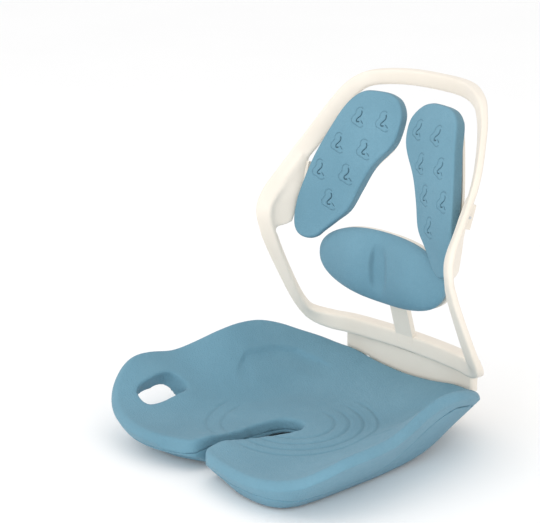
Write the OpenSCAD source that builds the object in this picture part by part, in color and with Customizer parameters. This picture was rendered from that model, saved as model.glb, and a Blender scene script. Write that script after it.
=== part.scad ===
// Posture seat with a wing backrest.
// Origin: on the floor below the middle of the object. +X to the sitter's left, -Y to the front, +Z up.

/* [Seat] */
// Height of the flat middle of the seat above the floor
seat_floor_z = 34; // [32:1:38]
// Height of the hollow under the middle of the seat
arch_z = 13; // [11:1:15]
// Thickness of the soft top over the lower shell
foam_t = 15; // [12:1:18]
// How far the edge rolls outward past its crest
edge_out = 9; // [7:1:10]
// How far the edge rolls down past its crest
edge_down = 11; // [9:1:12]
// Extra height of the front corner that carries the hand hole
handle_lift = 13; // [0:1:14]
// Length of the hand hole
handle_l = 74; // [66:1:80]
// Width of the hand hole
handle_w = 38; // [30:1:40]

/* [Base] */
// Width of the upright wall behind the seat
base_w = 240; // [220:1:250]
// Height of the top of that wall
base_top = 84; // [80:1:86]
// Thickness of that wall
base_t = 14; // [12:1:16]
// Radius of the steel pin that the backrest rocks on
recline_pin_r = 4; // [3:0.5:5]

/* [Backrest frame] */
// Half the band's thickness at the sides
band_t = 4.5; // [4:0.5:5.5]
// Half the band's width at the sides
band_w = 11.5; // [10:0.5:12.5]
// Half the height of the bottom bar
bar_h = 12.5; // [11:0.5:13]
// Half the height of the top bar
top_h = 10.5; // [9:0.5:12]

/* [Wings] */
// Backward tilt of each wing
wing_tilt = 16.8; // [14:0.1:19]
// Turn of each wing towards the middle
wing_toe = 9.7; // [8:0.1:11]
// Thickness of the wing's foam pad
wing_pad_t = 16; // [14:1:17]
// Radius of each wing's hinge pin
wing_pin_r = 2.2; // [2:0.1:2.5]

/* [Lumbar pad] */
// Half the width of the lumbar pad
lumbar_w = 117; // [105:1:118]
// Half the height of the lumbar pad
lumbar_h = 50; // [44:1:51]
// Radius of the lumbar pad's hinge pin
lumbar_pin_r = 3; // [2.5:0.5:3.5]

/* [Hidden] */

foam_blue = [0.46, 0.65, 0.73];
shell_blue = [0.42, 0.60, 0.69];
cream = [0.91, 0.88, 0.83];
steel = [0.70, 0.71, 0.72];
rubber = [0.16, 0.16, 0.17];

left = -1;
right = 1;
run_gap = 0.05;      // radial clearance of a pin that turns
steps = 3;           // spline steps between two stations

// ---------- curves ----------

// One point of a smooth curve through b and c, with neighbours a and d
function spline(a, b, c, d, t) =
    0.5 * (2 * b + (c - a) * t + (2 * a - 5 * b + 4 * c - d) * t * t + (3 * b - a - 3 * c + d) * t * t * t);

// Smooth closed curve through all the points in p
function closed_curve(p, n) =
    let (m = len(p))
    [for (i = [0 : m - 1], k = [0 : n - 1])
        spline(p[(i + m - 1) % m], p[i], p[(i + 1) % m], p[(i + 2) % m], k / n)];

// A right-hand row of stations followed by its mirror image, without repeating the two on the middle;
// flip tells which entries of a station are X values
function mirrored(p, flip) = concat(p, [for (i = [len(p) - 2 : -1 : 1])
    [for (k = [0 : len(p[i]) - 1]) flip[k] * p[i][k]]]);

function smooth(a, b, v) = let (t = min(1, max(0, (v - a) / (b - a)))) t * t * (3 - 2 * t);
function mix3(a, b, f) = a + (b - a) * f;

// Closed solid through equal rings of points, closed by a fan to a first and a last middle point.
// From ring turn on, the facets are split the other way, to match a neighbour that runs inside out.
module ring_solid(first, rings, last, turn) {
    n = len(rings[0]);
    m = len(rings);
    polyhedron(
        points = concat([for (r = rings) each r], [first, last]),
        faces = concat(
            [for (i = [0 : m - 2], j = [0 : n - 1])
                let (a = i * n + j, b = i * n + (j + 1) % n, c = a + n, d = b + n)
                each (i < turn ? [[a, b, c], [b, d, c]] : [[a, b, d], [a, d, c]])],
            [for (j = [0 : n - 1]) [m * n, (j + 1) % n, j]],
            [for (j = [0 : n - 1]) [m * n + 1, (m - 1) * n + j, (m - 1) * n + (j + 1) % n]]));
}

// ---------- seat ----------

// Stations round the right half of the seat, from the front middle to the rear middle:
// crest x, y, z, then foot edge x, y, z, then how far down the side wall the seam lies
seat_half = [
    [0, -203, 43, 0, -188, 8, 0.30],
    [34, -209, 42, 32, -193, 6, 0.30],
    [75, -216, 42, 75, -205, 4, 0.30],
    [115, -217, 43, 115, -205, 3, 0.32],
    [150, -210, 47, 138, -197, 3, 0.42],
    [178, -197, 55, 150, -178, 3, 0.55],
    [197, -178, 67, 153, -150, 3, 0.66],
    [208, -150, 78, 153, -118, 3, 0.72],
    [211, -112, 82, 152, -88, 3, 0.74],
    [208, -76, 84, 151, -60, 3, 0.75],
    [203, -40, 92, 150, -26, 4, 0.55],
    [197, -6, 101, 149, 5, 6, 0.34],
    [192, 27, 106, 147, 35, 9, 0.22],
    [188, 60, 104, 143, 62, 13, 0.13],
    [180, 90, 95, 136, 88, 17, 0.12],
    [166, 116, 83, 126, 112, 24, 0.16],
    [146, 136, 74, 112, 130, 30, 0.24],
    [122, 148, 67, 95, 142, 34, 0.30],
    [92, 153, 64, 70, 147, 36, 0.30],
    [50, 153, 58, 40, 149, 36, 0.30],
    [0, 153, 55, 0, 150, 35, 0.30]
];
seat_mid = [0, -47];          // middle of the flat seat floor and of the round grooves in it
lift_y = -140;                // where the handle corner rises most
lift_spread = 50;

function handle_rise(p) = p[0] < 0 ? handle_lift * exp(-pow((p[1] - lift_y) / lift_spread, 2)) : 0;
seat_stations = closed_curve(mirrored(seat_half, [-1, 1, 1, -1, 1, 1, 1]), steps);
crest = [for (s = seat_stations) [s[0], s[1], s[2] + handle_rise(s)]];
foot_edge = [for (s = seat_stations) [s[3], s[4], s[5]]];
seam_depth = [for (s = seat_stations) s[6]];
edge = [for (i = [0 : len(crest) - 1]) edge_point(i, 90)];

function outward(i) = let (d = [crest[i][0] - seat_mid[0], crest[i][1] - seat_mid[1]]) d / norm(d);
function edge_point(i, a) = [
    crest[i][0] + outward(i)[0] * edge_out * sin(a),
    crest[i][1] + outward(i)[1] * edge_out * sin(a),
    crest[i][2] - edge_down * (1 - cos(a))];

// Height of the seat's top at fraction r of the way out to the crest
function top_z(i, r) =
    let (y = seat_mid[1] + (crest[i][1] - seat_mid[1]) * r,
         x = crest[i][0] * r,
         lobe = min(1, max(0, (-55 - y) / 120)))
    seat_floor_z + (crest[i][2] - seat_floor_z) * pow(max(0, (r - 0.42) / 0.58), 1.7)
        + 7 * exp(-pow(x / 45, 2)) * lobe * (1 - smooth(0.75, 1, r));

function top_ring(r, down) = [for (i = [0 : len(crest) - 1]) [
    seat_mid[0] + (crest[i][0] - seat_mid[0]) * r,
    seat_mid[1] + (crest[i][1] - seat_mid[1]) * r,
    top_z(i, r) - down]];
function roll_ring(a) = [for (i = [0 : len(crest) - 1]) edge_point(i, a)];
function wall_ring(f) = [for (i = [0 : len(crest) - 1]) wall_point(i, f)];
function wall_point(i, f) = mix3(edge[i], foot_edge[i], f) - [0, 0, 2.5 * sin(180 * f)];
function seam_ring(f) = [for (i = [0 : len(crest) - 1]) wall_point(i, seam_depth[i] * f)];
function low_ring(f) = [for (i = [0 : len(crest) - 1])
    wall_point(i, seam_depth[i] + (1 - seam_depth[i]) * f)];

// The shell's underside keeps at least shell_t below the soft top
shell_t = 5;
function under_point(i, f) =
    let (d = [foot_edge[i][0] - seat_mid[0], foot_edge[i][1] - seat_mid[1]],
         c = [crest[i][0] - seat_mid[0], crest[i][1] - seat_mid[1]],
         r = f * norm(d) / norm(c))
    [seat_mid[0] + d[0] * f, seat_mid[1] + d[1] * f,
     min(mix3(arch_z, foot_edge[i][2], smooth(0.5, 0.8, f)), top_z(i, r) - foam_t - shell_t)];
function under_ring(f) = [for (i = [0 : len(crest) - 1]) under_point(i, f)];

// Half the width of the slit between the two lobes, and how far it leans to the handle side
slit = [[-203, 34, -22], [-196, 18, -12], [-186, 11, -8], [-150, 13, -5], [-115, 17, -3], [-85, 21, 0],
    [-62, 22, 0]];
slit_end_y = -60;

module slit_cut() {
    // narrow lane out to the front, wider round end at the middle of the seat
    translate([0, 0, -1]) linear_extrude(80) {
        polygon(concat(
            [for (s = slit) [s[2] + s[1], s[0]]],
            [for (i = [len(slit) - 1 : -1 : 0]) [slit[i][2] - slit[i][1], slit[i][0]]],
            [[-62, -213], [-70, -240], [52, -240], [36, -213]]));
        translate([0, slit_end_y]) circle(r = 22, $fn = 48);
    }
}

handle_mid = [-163, -134, 62];
handle_lean = 28;             // lean of the hole's axis from upright, towards the seat's outside

module handle_cut() {
    translate(handle_mid) rotate([0, handle_lean, 6]) translate([0, 0, -60]) linear_extrude(120) {
        square([handle_w, handle_l - handle_w], center = true);
        for (s = [-1, 1]) translate([0, s * (handle_l - handle_w) / 2]) circle(d = handle_w, $fn = 40);
    }
}

module seat_cushion() color(foam_blue) difference() {
    ring_solid(
        [seat_mid[0], seat_mid[1], seat_floor_z],
        concat(
            [for (r = [0.2, 0.42, 0.55, 0.68, 0.8, 0.9, 0.96]) top_ring(r, 0)],
            [for (a = [0, 35, 65, 90]) roll_ring(a)],
            [for (f = [0.5, 1]) seam_ring(f)],
            [for (r = [0.78, 0.6, 0.42]) top_ring(r, foam_t)]),
        [seat_mid[0], seat_mid[1], seat_floor_z - foam_t],
        12);
    slit_cut();
    handle_cut();
}

module seat_shell() color(shell_blue) difference() {
    ring_solid(
        [seat_mid[0], seat_mid[1], seat_floor_z - foam_t],
        concat(
            [for (r = [0.42, 0.6, 0.78]) top_ring(r, foam_t)],
            [for (f = [0, 0.35, 0.7, 0.9, 1]) low_ring(f)],
            [for (f = [0.8, 0.65, 0.5]) under_ring(f)]),
        [seat_mid[0], seat_mid[1], arch_z],
        100);
    slit_cut();
    handle_cut();
    for (x = base_screw_x, y = base_screw_y) translate([x, y, arch_z - 1]) cylinder(r = 2, h = 5, $fn = 24);
}

foot_r = 11;
foot_h = 2.9;
seat_foot_at = [[121, -175], [134, -75]];

module seat_feet() color(rubber)
    for (p = seat_foot_at, s = [left, right]) translate([s * p[0], p[1], 0]) {
        cylinder(r1 = foot_r - 1, r2 = foot_r, h = 1, $fn = 40);
        translate([0, 0, 1]) cylinder(r = foot_r, h = foot_h - 1, $fn = 40);
    }

// ---------- base ----------

base_y = 163;                 // front face of the upright wall
base_back = base_y + base_t;
plate_w = 130;                // foot plate under the seat
plate_y = 12;
plate_z = 5;
base_screw_x = [-45, 45];
base_screw_y = [24, 54];
recline_y = 190;              // axis of the pin that the backrest rocks on
recline_z = 68;
wing_wall_z = 57;             // the wall is narrow below this height and full width above it
narrow_w = 150;
tower_x = 47;                 // inner face of each tower
tower_w = 12;
lug_x = 31;                   // inner face of each frame lug
lug_w = 14;
lug_r = 10;
bush_r = 7;

module rounded_box(w, d, h, r) linear_extrude(h) {
    translate([-w / 2 + r, 0]) square([w - 2 * r, d]);
    translate([-w / 2, r]) square([w, d - 2 * r]);
    for (x = [-1, 1], y = [r, d - r]) translate([x * (w / 2 - r), y]) circle(r = r, $fn = 32);
}

module along_x(r, l) rotate([0, 90, 0]) cylinder(r = r, h = l, center = true, $fn = 48);

module base_block() color(cream) difference() {
    union() {
        translate([0, base_y, wing_wall_z]) rounded_box(base_w, base_t, base_top - wing_wall_z, 4);
        translate([0, base_y, plate_z]) rounded_box(narrow_w, base_t, wing_wall_z - plate_z + 1, 4);
        translate([-plate_w / 2, plate_y, plate_z]) cube([plate_w, base_back - plate_y, arch_z - plate_z]);
        // towers that hold the rocking pin
        for (s = [left, right]) translate([s * (tower_x + tower_w / 2), recline_y, 0]) {
            translate([0, 0, recline_z]) along_x(lug_r, tower_w);
            translate([-tower_w / 2, base_back - recline_y - 1, plate_z])
                cube([tower_w, cover_y - base_back + 1, recline_z - plate_z]);
        }
        // gussets between the wall and the foot plate
        for (x = [-53, -20, 20, 53]) translate([x - 2, base_y, arch_z - 1]) rotate([0, -90, 180])
            linear_extrude(4) polygon([[0, -1], [0, 34], [16, -1]]);
    }
    translate([0, recline_y, recline_z]) along_x(recline_pin_r, 400);
    for (x = base_screw_x, y = base_screw_y) translate([x, y, 0]) {
        cylinder(r = 2.3, h = 30, $fn = 24);
        translate([0, 0, plate_z - 1]) cylinder(r = 4.6, h = 4, $fn = 32);
    }
    for (x = cover_screw_x) translate([x, recline_y, cover_screw_z]) rotate([-90, 0, 0])
        cylinder(r = 1.6, h = 30, $fn = 20);
}

base_foot_at = [[50, 92], [50, 150]];

module base_feet() color(rubber)
    for (p = base_foot_at, s = [left, right]) translate([s * p[0], p[1], 0])
        cylinder(r = foot_r, h = plate_z, $fn = 40);

module screw(r, l, head_r, head_h) {
    translate([0, 0, -0.4]) cylinder(r = r, h = l + 0.4, $fn = 24);
    translate([0, 0, -head_h]) difference() {
        cylinder(r = head_r, h = head_h, $fn = 28);
        translate([0, 0, -0.01]) cylinder(r = head_r * 0.45, h = head_h * 0.6, $fn = 6);
    }
}

module base_screws() color(steel)
    for (x = base_screw_x, y = base_screw_y) translate([x, y, plate_z + 3]) screw(1.95, 8.5, 4, 2.6);

module recline_pin() color(steel)
    translate([0, recline_y, recline_z]) along_x(recline_pin_r, 2 * (tower_x + tower_w) - 2);

module recline_bushes() color(rubber)
    for (s = [left, right]) translate([s * (lug_x + lug_w / 2), recline_y, recline_z]) difference() {
        along_x(bush_r, lug_w);
        along_x(recline_pin_r + run_gap, 60);
    }

bumper_t = 4;

module recline_bumpers() color(rubber)
    for (s = [left, right]) translate([s * (lug_x + lug_w / 2) - 5, base_back, 44]) cube([10, bumper_t, 10]);

cover_screw_x = [-53, 53];
cover_screw_z = 40;
cover_half = 62;
cover_y = recline_y + lug_r + 1.5;
cover_t = 3;

module rear_cover() color(cream) difference() {
    union() {
        translate([0, cover_y, 16]) rounded_box(2 * cover_half, cover_t, 66, 1.2);
        for (s = [left, right]) translate([s * (cover_half - 1.5) - 1.5, base_back, 16])
            cube([3, cover_y - base_back + 1, 66]);
    }
    for (x = cover_screw_x) translate([x, cover_y - 5, cover_screw_z]) rotate([-90, 0, 0])
        cylinder(r = 1.8, h = 20, $fn = 20);
}

module cover_screws() color(steel)
    for (x = cover_screw_x) translate([x, cover_y + cover_t, cover_screw_z]) rotate([90, 0, 0])
        screw(1.55, 11, 3.2, 1.8);

// ---------- backrest frame ----------

// Stations down the right half of the band: centre x, y, z, half width, half thickness, and how far
// the flat face turns towards the middle, in degrees
band_half = [
    [0, 217.3, 450, top_h, 8, 0],
    [56, 208, 450, top_h, 8, 0],
    [98, 185, 445, 10.5, 6.5, 8],
    [119, 169, 430, 11, 5, 18],
    [134, 153, 404, 11.5, band_t, 26],
    [152, 125, 360, band_w, band_t, 30],
    [165, 90, 318, band_w, band_t, 30],
    [172, 63, 286, band_w, band_t, 28],
    [173, 56, 260, band_w, band_t, 26],
    [170, 67, 222, 11, band_t, 20],
    [166, 94, 169, 10.5, band_t, 10],
    [161, 117, 133, 10.5, 5, 5],
    [151, 135, 114, 11, 7, 0],
    [130, 151, 101.5, 12, 9.5, 0],
    [95, 162, 98, bar_h, 11, 0],
    [0, 168, 98, bar_h, 11, 0]
];
band = closed_curve(mirrored(band_half, [-1, 1, 1, 1, 1, 1]), 3);
section_sides = 16;

function unit(v) = v / norm(v);
function power(v, p) = sign(v) * pow(abs(v), p);
function band_at(i) = let (p = band[(i + len(band)) % len(band)]) [p[0], p[1], p[2]];
function band_section(i) =
    let (t = unit(band_at(i + 1) - band_at(i - 1)),
         flat = unit(cross(t, [0, 1, 0])),
         back = cross(flat, t),
         f = band[i][5],
         out = flat * cos(f) - back * sin(f),
         deep = flat * sin(f) + back * cos(f),
         c = band_at(i))
    [for (k = [0 : section_sides - 1]) let (a = 360 * (k + 0.5) / section_sides)
        c + out * band[i][3] * power(cos(a), 0.55) + deep * band[i][4] * power(sin(a), 0.55)];

module band_loop() {
    m = len(band);
    n = section_sides;
    polyhedron(
        points = [for (i = [0 : m - 1]) each band_section(i)],
        faces = [for (i = [0 : m - 1], j = [0 : n - 1]) each [
            [i * n + j, i * n + (j + 1) % n, ((i + 1) % m) * n + j],
            [i * n + (j + 1) % n, ((i + 1) % m) * n + (j + 1) % n, ((i + 1) % m) * n + j]]]);
}

// Place something in the right or left wing's own frame: X outward, Y backward from its front, Z up along it
wing_at = [76.3, 123.3, 352.4];
module in_wing(side)
    mirror([side == left ? 1 : 0, 0, 0]) translate(wing_at) rotate([-wing_tilt, 0, -wing_toe]) children();

web_out_u = 74;               // outer face of the wing bracket, where the web ends

// The three stations of the web's end beside the wing's edge: outward, middle of its thickness, low end
web_end = [[web_out_u, 14, -26], [web_out_u, 11, -58], [81, 12, -104]];

module web(side) {
    bead = 3.6;
    hull() {
        mirror([side == left ? 1 : 0, 0, 0])
            for (p = [[168, 60, 250], [165, 74, 296], [154, 109, 339]]) translate(p) sphere(r = bead, $fn = 16);
        in_wing(side)
            for (p = web_end) translate([p[0], p[1] - bead, p[2]]) cube([1.5, 2 * bead, 6]);
    }
}

module frame_lug(side) translate([side * (lug_x + lug_w / 2), 0, 0]) difference() {
    union() {
        translate([0, recline_y, recline_z]) along_x(lug_r, lug_w);
        translate([-lug_w / 2, recline_y - 7, 46]) cube([lug_w, 12, 60]);
        translate([-lug_w / 2, 170, 88]) cube([lug_w, recline_y - 170 + 5, 18]);
    }
    translate([0, recline_y, recline_z]) along_x(bush_r, 60);
}

stalk_screw_z = 100;
stalk_w = 32;
foot_low = 94;                // bottom of the notch in the bar that takes the stalk's foot
foot_back = 166;              // rear face of that notch
foot_front = 156.6;

module back_frame() color(cream) difference() {
    union() {
        band_loop();
        for (s = [left, right]) {
            web(s);
            frame_lug(s);
        }
    }
    translate([-stalk_w / 2, 140, foot_low]) cube([stalk_w, foot_back - 140, 30]);
    for (x = [-9, 9]) translate([x, 150, stalk_screw_z]) rotate([-90, 0, 0]) cylinder(r = 2, h = 40, $fn = 24);
    for (s = [left, right]) in_wing(s) translate([web_out_u - 1, bracket_screw_y, bracket_screw_v])
        rotate([0, 90, 0]) cylinder(r = 2, h = 9, $fn = 24);
}

// ---------- lumbar pad ----------

lumbar_axis = [0, 140, 186];
lumbar_back = 126;            // back face of the lumbar shell
stalk_t = 7;

module lumbar_stalk() color(cream) difference() {
    union() {
        // leaning blade from the bar up to the eye
        hull() {
            translate([-stalk_w / 2, foot_front, 108]) cube([stalk_w, stalk_t, 2]);
            translate([-stalk_w / 2, 136, 178]) cube([stalk_w, stalk_t, 2]);
        }
        // foot let into the notch of the bar
        translate([-stalk_w / 2, foot_front, foot_low]) cube([stalk_w, foot_back - foot_front, 15]);
        translate(lumbar_axis) along_x(8, 30);
    }
    translate(lumbar_axis) along_x(5.5, 60);
    for (x = [-9, 9]) translate([x, 150, stalk_screw_z]) rotate([-90, 0, 0]) cylinder(r = 2, h = 40, $fn = 24);
}

module stalk_screws() color(steel)
    for (x = [-9, 9]) translate([x, 179, stalk_screw_z]) rotate([90, 0, 0]) screw(1.95, 20, 3.8, 2.2);

module lumbar_pin() color(steel) translate(lumbar_axis) along_x(lumbar_pin_r, 46);

module lumbar_bush() color(rubber) translate(lumbar_axis) difference() {
    along_x(5.5, 30);
    along_x(lumbar_pin_r + run_gap, 60);
}

// Outline of the lumbar pad, seen from the front
function lumbar_outline(w, h) = [for (a = [0 : 6 : 354]) [w * power(cos(a), 0.86), h * power(sin(a), 0.86)]];
lumbar_mid_z = 211;
module lumbar_slab(w, h, front, back)
    translate([0, back, lumbar_mid_z]) rotate([90, 0, 0]) linear_extrude(back - front)
        polygon(lumbar_outline(w, h));

module lumbar_shell() color(cream) difference() {
    union() {
        lumbar_slab(lumbar_w - 1, lumbar_h - 1, lumbar_back - 6, lumbar_back);
        // two ears that hold the pin
        for (s = [left, right]) translate([s * 19.5, 0, 0]) {
            translate(lumbar_axis) along_x(7, 7);
            translate([-3.5, lumbar_back - 1, lumbar_axis[2] - 7]) cube([7, lumbar_axis[1] - lumbar_back + 1, 14]);
        }
    }
    translate(lumbar_axis) along_x(lumbar_pin_r, 80);
    for (x = lumbar_screw_x, z = lumbar_screw_z) translate([x, lumbar_back + 1, z]) rotate([90, 0, 0])
        cylinder(r = 2, h = 12, $fn = 20);
}

lumbar_screw_x = [-70, 70];
lumbar_screw_z = [196, 226];

module lumbar_screws() color(steel)
    for (x = lumbar_screw_x, z = lumbar_screw_z) translate([x, lumbar_back, z]) rotate([90, 0, 0])
        screw(1.9, 5.5, 3.8, 2.2);

module lumbar_pad() color(foam_blue) hull() {
    lumbar_slab(lumbar_w, lumbar_h, lumbar_back - 16, lumbar_back - 6);
    lumbar_slab(lumbar_w - 28, lumbar_h - 16, lumbar_back - 31, lumbar_back - 6);
}

// ---------- wings ----------

// Outline of a wing pad seen from the front, outward and up in its own frame
wing_outline = [[-28, 90], [0, 87], [20, 70], [38, 32], [54, -7], [66, -46], [73, -75], [75, -102],
    [69, -117], [54, -122.5], [39, -118], [27, -107], [10, -91.5], [-9, -73], [-23, -41], [-39, -10],
    [-63, 18], [-71, 37], [-72, 62], [-61, 80], [-46, 88]];
hinge_u = 54;                 // wing hinge axis in the wing's own frame
hinge_y = 28;
hinge_r = 5;
ear_r = 5.5;
ear_h = 8;
knuckle_low = -43;
knuckle_high = -28;
wing_plate_t = 4;
wing_bush_r = 3.8;
plate_screws = [[-30, 50], [25, 20], [20, -70]];

module wing_pad(side) color(foam_blue) in_wing(side)
    translate([0, wing_pad_t, 0]) rotate([90, 0, 0]) linear_extrude(wing_pad_t)
        polygon(closed_curve(wing_outline, 3));

// The backing plate is the same outline drawn in towards its own middle
plate_inset = 0.9;
plate_mid = [0, -10];
module wing_plate(side) color(cream) in_wing(side) difference() {
    union() {
        translate([0, wing_pad_t + wing_plate_t, 0]) rotate([90, 0, 0]) linear_extrude(wing_plate_t)
            polygon([for (p = closed_curve(wing_outline, 3)) plate_mid + (p - plate_mid) * plate_inset]);
        translate([hinge_u, hinge_y, knuckle_low])
            cylinder(r = hinge_r, h = knuckle_high - knuckle_low, $fn = 48);
        translate([hinge_u - hinge_r, wing_pad_t + wing_plate_t - 1, knuckle_low])
            cube([2 * hinge_r, hinge_y - wing_pad_t - wing_plate_t + 1, knuckle_high - knuckle_low]);
    }
    translate([hinge_u, hinge_y, -150]) cylinder(r = wing_bush_r, h = 200, $fn = 48);
    for (p = plate_screws) translate([p[0], wing_pad_t + 10, p[1]]) rotate([90, 0, 0])
        cylinder(r = 1.8, h = 12, $fn = 20);
}

module wing_screws(side) color(steel) in_wing(side)
    for (p = plate_screws) translate([p[0], wing_pad_t + wing_plate_t, p[1]]) rotate([90, 0, 0])
        screw(1.7, wing_plate_t - 0.2, 3.6, 2);

module wing_bush(side) color(rubber) in_wing(side)
    translate([hinge_u, hinge_y, knuckle_low]) difference() {
        cylinder(r = wing_bush_r, h = knuckle_high - knuckle_low, $fn = 48);
        translate([0, 0, -1]) cylinder(r = wing_pin_r + run_gap, h = 60, $fn = 48);
    }

pin_low = knuckle_low - 0.6 - ear_h;
pin_high = knuckle_high + 0.6 + ear_h;

module wing_pin(side) color(steel) in_wing(side)
    translate([hinge_u, hinge_y, pin_low]) cylinder(r = wing_pin_r, h = pin_high - pin_low, $fn = 48);

bracket_t = 4;                // thickness of the bracket's plate, whose outer face meets the web
bracket_screw_v = (knuckle_low + knuckle_high) / 2;
bracket_screw_y = 12.5;

module wing_bracket(side) color(cream) in_wing(side) difference() {
    union() {
        translate([web_out_u - bracket_t, 8, pin_low]) cube([bracket_t, 15, pin_high - pin_low]);
        // an arm slants from the plate round the wing's edge to each ear
        for (v = [pin_low, knuckle_high + 0.6]) hull() {
            translate([hinge_u, hinge_y, v]) cylinder(r = ear_r, h = ear_h, $fn = 48);
            translate([web_out_u - bracket_t, 20.5, v]) cube([bracket_t, 2.5, ear_h]);
        }
    }
    translate([hinge_u, hinge_y, -150]) cylinder(r = wing_pin_r, h = 200, $fn = 48);
    translate([web_out_u - 20, bracket_screw_y, bracket_screw_v]) rotate([0, 90, 0])
        cylinder(r = 2.1, h = 40, $fn = 24);
}

module bracket_screws(side) color(steel) in_wing(side)
    translate([web_out_u - bracket_t, bracket_screw_y, bracket_screw_v]) rotate([0, 90, 0])
        screw(1.9, bracket_t + 7, 3.6, 2);

// ---------- nodes ----------

seat_cushion();
seat_shell();
seat_feet();
base_block();
base_feet();
base_screws();
recline_pin();
recline_bushes();
recline_bumpers();
rear_cover();
cover_screws();
back_frame();
lumbar_stalk();
stalk_screws();
lumbar_pin();
lumbar_bush();
lumbar_shell();
lumbar_pad();
lumbar_screws();
wing_bracket(left);  // left_wing_bracket
wing_bracket(right);  // right_wing_bracket
bracket_screws(left);  // left_bracket_screws
bracket_screws(right);  // right_bracket_screws
wing_pin(left);  // left_wing_pin
wing_pin(right);  // right_wing_pin
wing_bush(left);  // left_wing_bush
wing_bush(right);  // right_wing_bush
wing_plate(left);  // left_wing_plate
wing_plate(right);  // right_wing_plate
wing_pad(left);  // left_wing_pad
wing_pad(right);  // right_wing_pad
wing_screws(left);  // left_wing_screws
wing_screws(right);  // right_wing_screws
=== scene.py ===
import math

import bmesh
import bpy
import numpy as np
from mathutils import Matrix, Vector
from mathutils.bvhtree import BVHTree
from mathutils.geometry import delaunay_2d_cdt


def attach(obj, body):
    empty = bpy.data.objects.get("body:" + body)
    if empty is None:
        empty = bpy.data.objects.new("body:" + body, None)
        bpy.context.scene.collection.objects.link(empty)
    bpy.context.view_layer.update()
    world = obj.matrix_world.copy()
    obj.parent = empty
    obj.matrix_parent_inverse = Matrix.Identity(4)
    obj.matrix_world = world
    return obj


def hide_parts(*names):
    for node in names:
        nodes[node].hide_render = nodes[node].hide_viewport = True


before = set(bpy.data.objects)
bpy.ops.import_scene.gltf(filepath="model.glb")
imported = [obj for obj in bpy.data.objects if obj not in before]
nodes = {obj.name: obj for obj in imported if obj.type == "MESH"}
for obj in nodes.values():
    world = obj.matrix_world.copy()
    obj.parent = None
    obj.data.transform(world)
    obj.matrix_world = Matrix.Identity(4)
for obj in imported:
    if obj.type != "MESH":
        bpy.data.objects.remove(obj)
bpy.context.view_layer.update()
MM = 0.001
LEFT, RIGHT = -1, 1


# ---------- small tools ----------

def open_curve(points, n):
    """A smooth curve through a row of points, n steps between two of them."""
    p = np.asarray(points, float)
    p = np.vstack([2 * p[0] - p[1], p, 2 * p[-1] - p[-2]])
    t = (np.arange(n) / n)[None, :, None]
    a, b, c, d = p[:-3, None], p[1:-2, None], p[2:-1, None], p[3:, None]
    q = 0.5 * (2 * b + (c - a) * t + (2 * a - 5 * b + 4 * c - d) * t**2 + (3 * b - a - 3 * c + d) * t**3)
    return np.vstack([q.reshape(-1, p.shape[1]), p[-2]])


def closed_curve(points, n):
    """A smooth closed curve through all the points, n steps between two of them."""
    p = np.asarray(points, float)
    t = (np.arange(n) / n)[None, :, None]
    a, b, c, d = (np.roll(p, k, 0)[:, None] for k in (1, 0, -1, -2))
    q = 0.5 * (2 * b + (c - a) * t + (2 * a - 5 * b + 4 * c - d) * t**2 + (3 * b - a - 3 * c + d) * t**3)
    return q.reshape(-1, p.shape[1])


def mirrored(rows, flips):
    """A right-hand row of stations followed by its mirror image."""
    rows = np.asarray(rows, float)
    return np.vstack([rows, rows[-2:0:-1] * np.asarray(flips, float)])


def even(curve, n, closed=True):
    """The same curve with n points at equal steps along it."""
    c = np.vstack([curve, curve[:1]]) if closed else np.asarray(curve)
    s = np.concatenate([[0], np.cumsum(np.linalg.norm(np.diff(c, axis=0), axis=1))])
    at = np.linspace(0, s[-1], n, endpoint=not closed)
    return np.stack([np.interp(at, s, c[:, k]) for k in range(c.shape[1])], 1)


def smooth(a, b, v):
    t = np.clip((v - a) / (b - a), 0, 1)
    return t * t * (3 - 2 * t)


def power(v, p):
    return np.sign(v) * np.abs(v) ** p


def turn(x=0, y=0, z=0):
    """Rotation matrix: about X first, then Y, then Z, in degrees."""
    m = Matrix.Rotation(math.radians(z), 3, "Z") @ Matrix.Rotation(math.radians(y), 3, "Y")
    return np.array(m @ Matrix.Rotation(math.radians(x), 3, "X"))


def make(name, verts_mm, faces, smooth_shade=True):
    """A mesh object from points in millimetres."""
    mesh = bpy.data.meshes.new(name)
    mesh.from_pydata((np.asarray(verts_mm, float) * MM).tolist(), [], [list(map(int, f)) for f in faces])
    mesh.validate()
    mesh.update()
    obj = bpy.data.objects.new(name, mesh)
    bpy.context.scene.collection.objects.link(obj)
    if smooth_shade:
        mesh.polygons.foreach_set("use_smooth", [True] * len(mesh.polygons))
    return obj


def ring_faces(m, n, closed=False):
    """Quads between m rings of n points."""
    i = np.arange(m if closed else m - 1)[:, None]
    j = np.arange(n)[None, :]
    a, b = i * n + j, i * n + (j + 1) % n
    c, d = ((i + 1) % m) * n + j, ((i + 1) % m) * n + (j + 1) % n
    return np.stack([a, b, d, c], -1).reshape(-1, 4).tolist()


def ring_solid(name, rings, first=None, last=None):
    """A closed solid through equal rings, closed by fans to two middle points."""
    rings = np.asarray(rings, float)
    m, n = rings.shape[:2]
    first = rings[0].mean(0) if first is None else first
    last = rings[-1].mean(0) if last is None else last
    verts = np.vstack([rings.reshape(-1, 3), [first], [last]])
    faces = ring_faces(m, n)
    faces += [[m * n, (j + 1) % n, j] for j in range(n)]
    faces += [[m * n + 1, (m - 1) * n + j, (m - 1) * n + (j + 1) % n] for j in range(n)]
    return make(name, verts, faces)


def coords(obj):
    co = np.empty(len(obj.data.vertices) * 3)
    obj.data.vertices.foreach_get("co", co)
    return co.reshape(-1, 3) / MM


def set_coords(obj, co):
    obj.data.vertices.foreach_set("co", (co * MM).ravel())
    obj.data.update()


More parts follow.
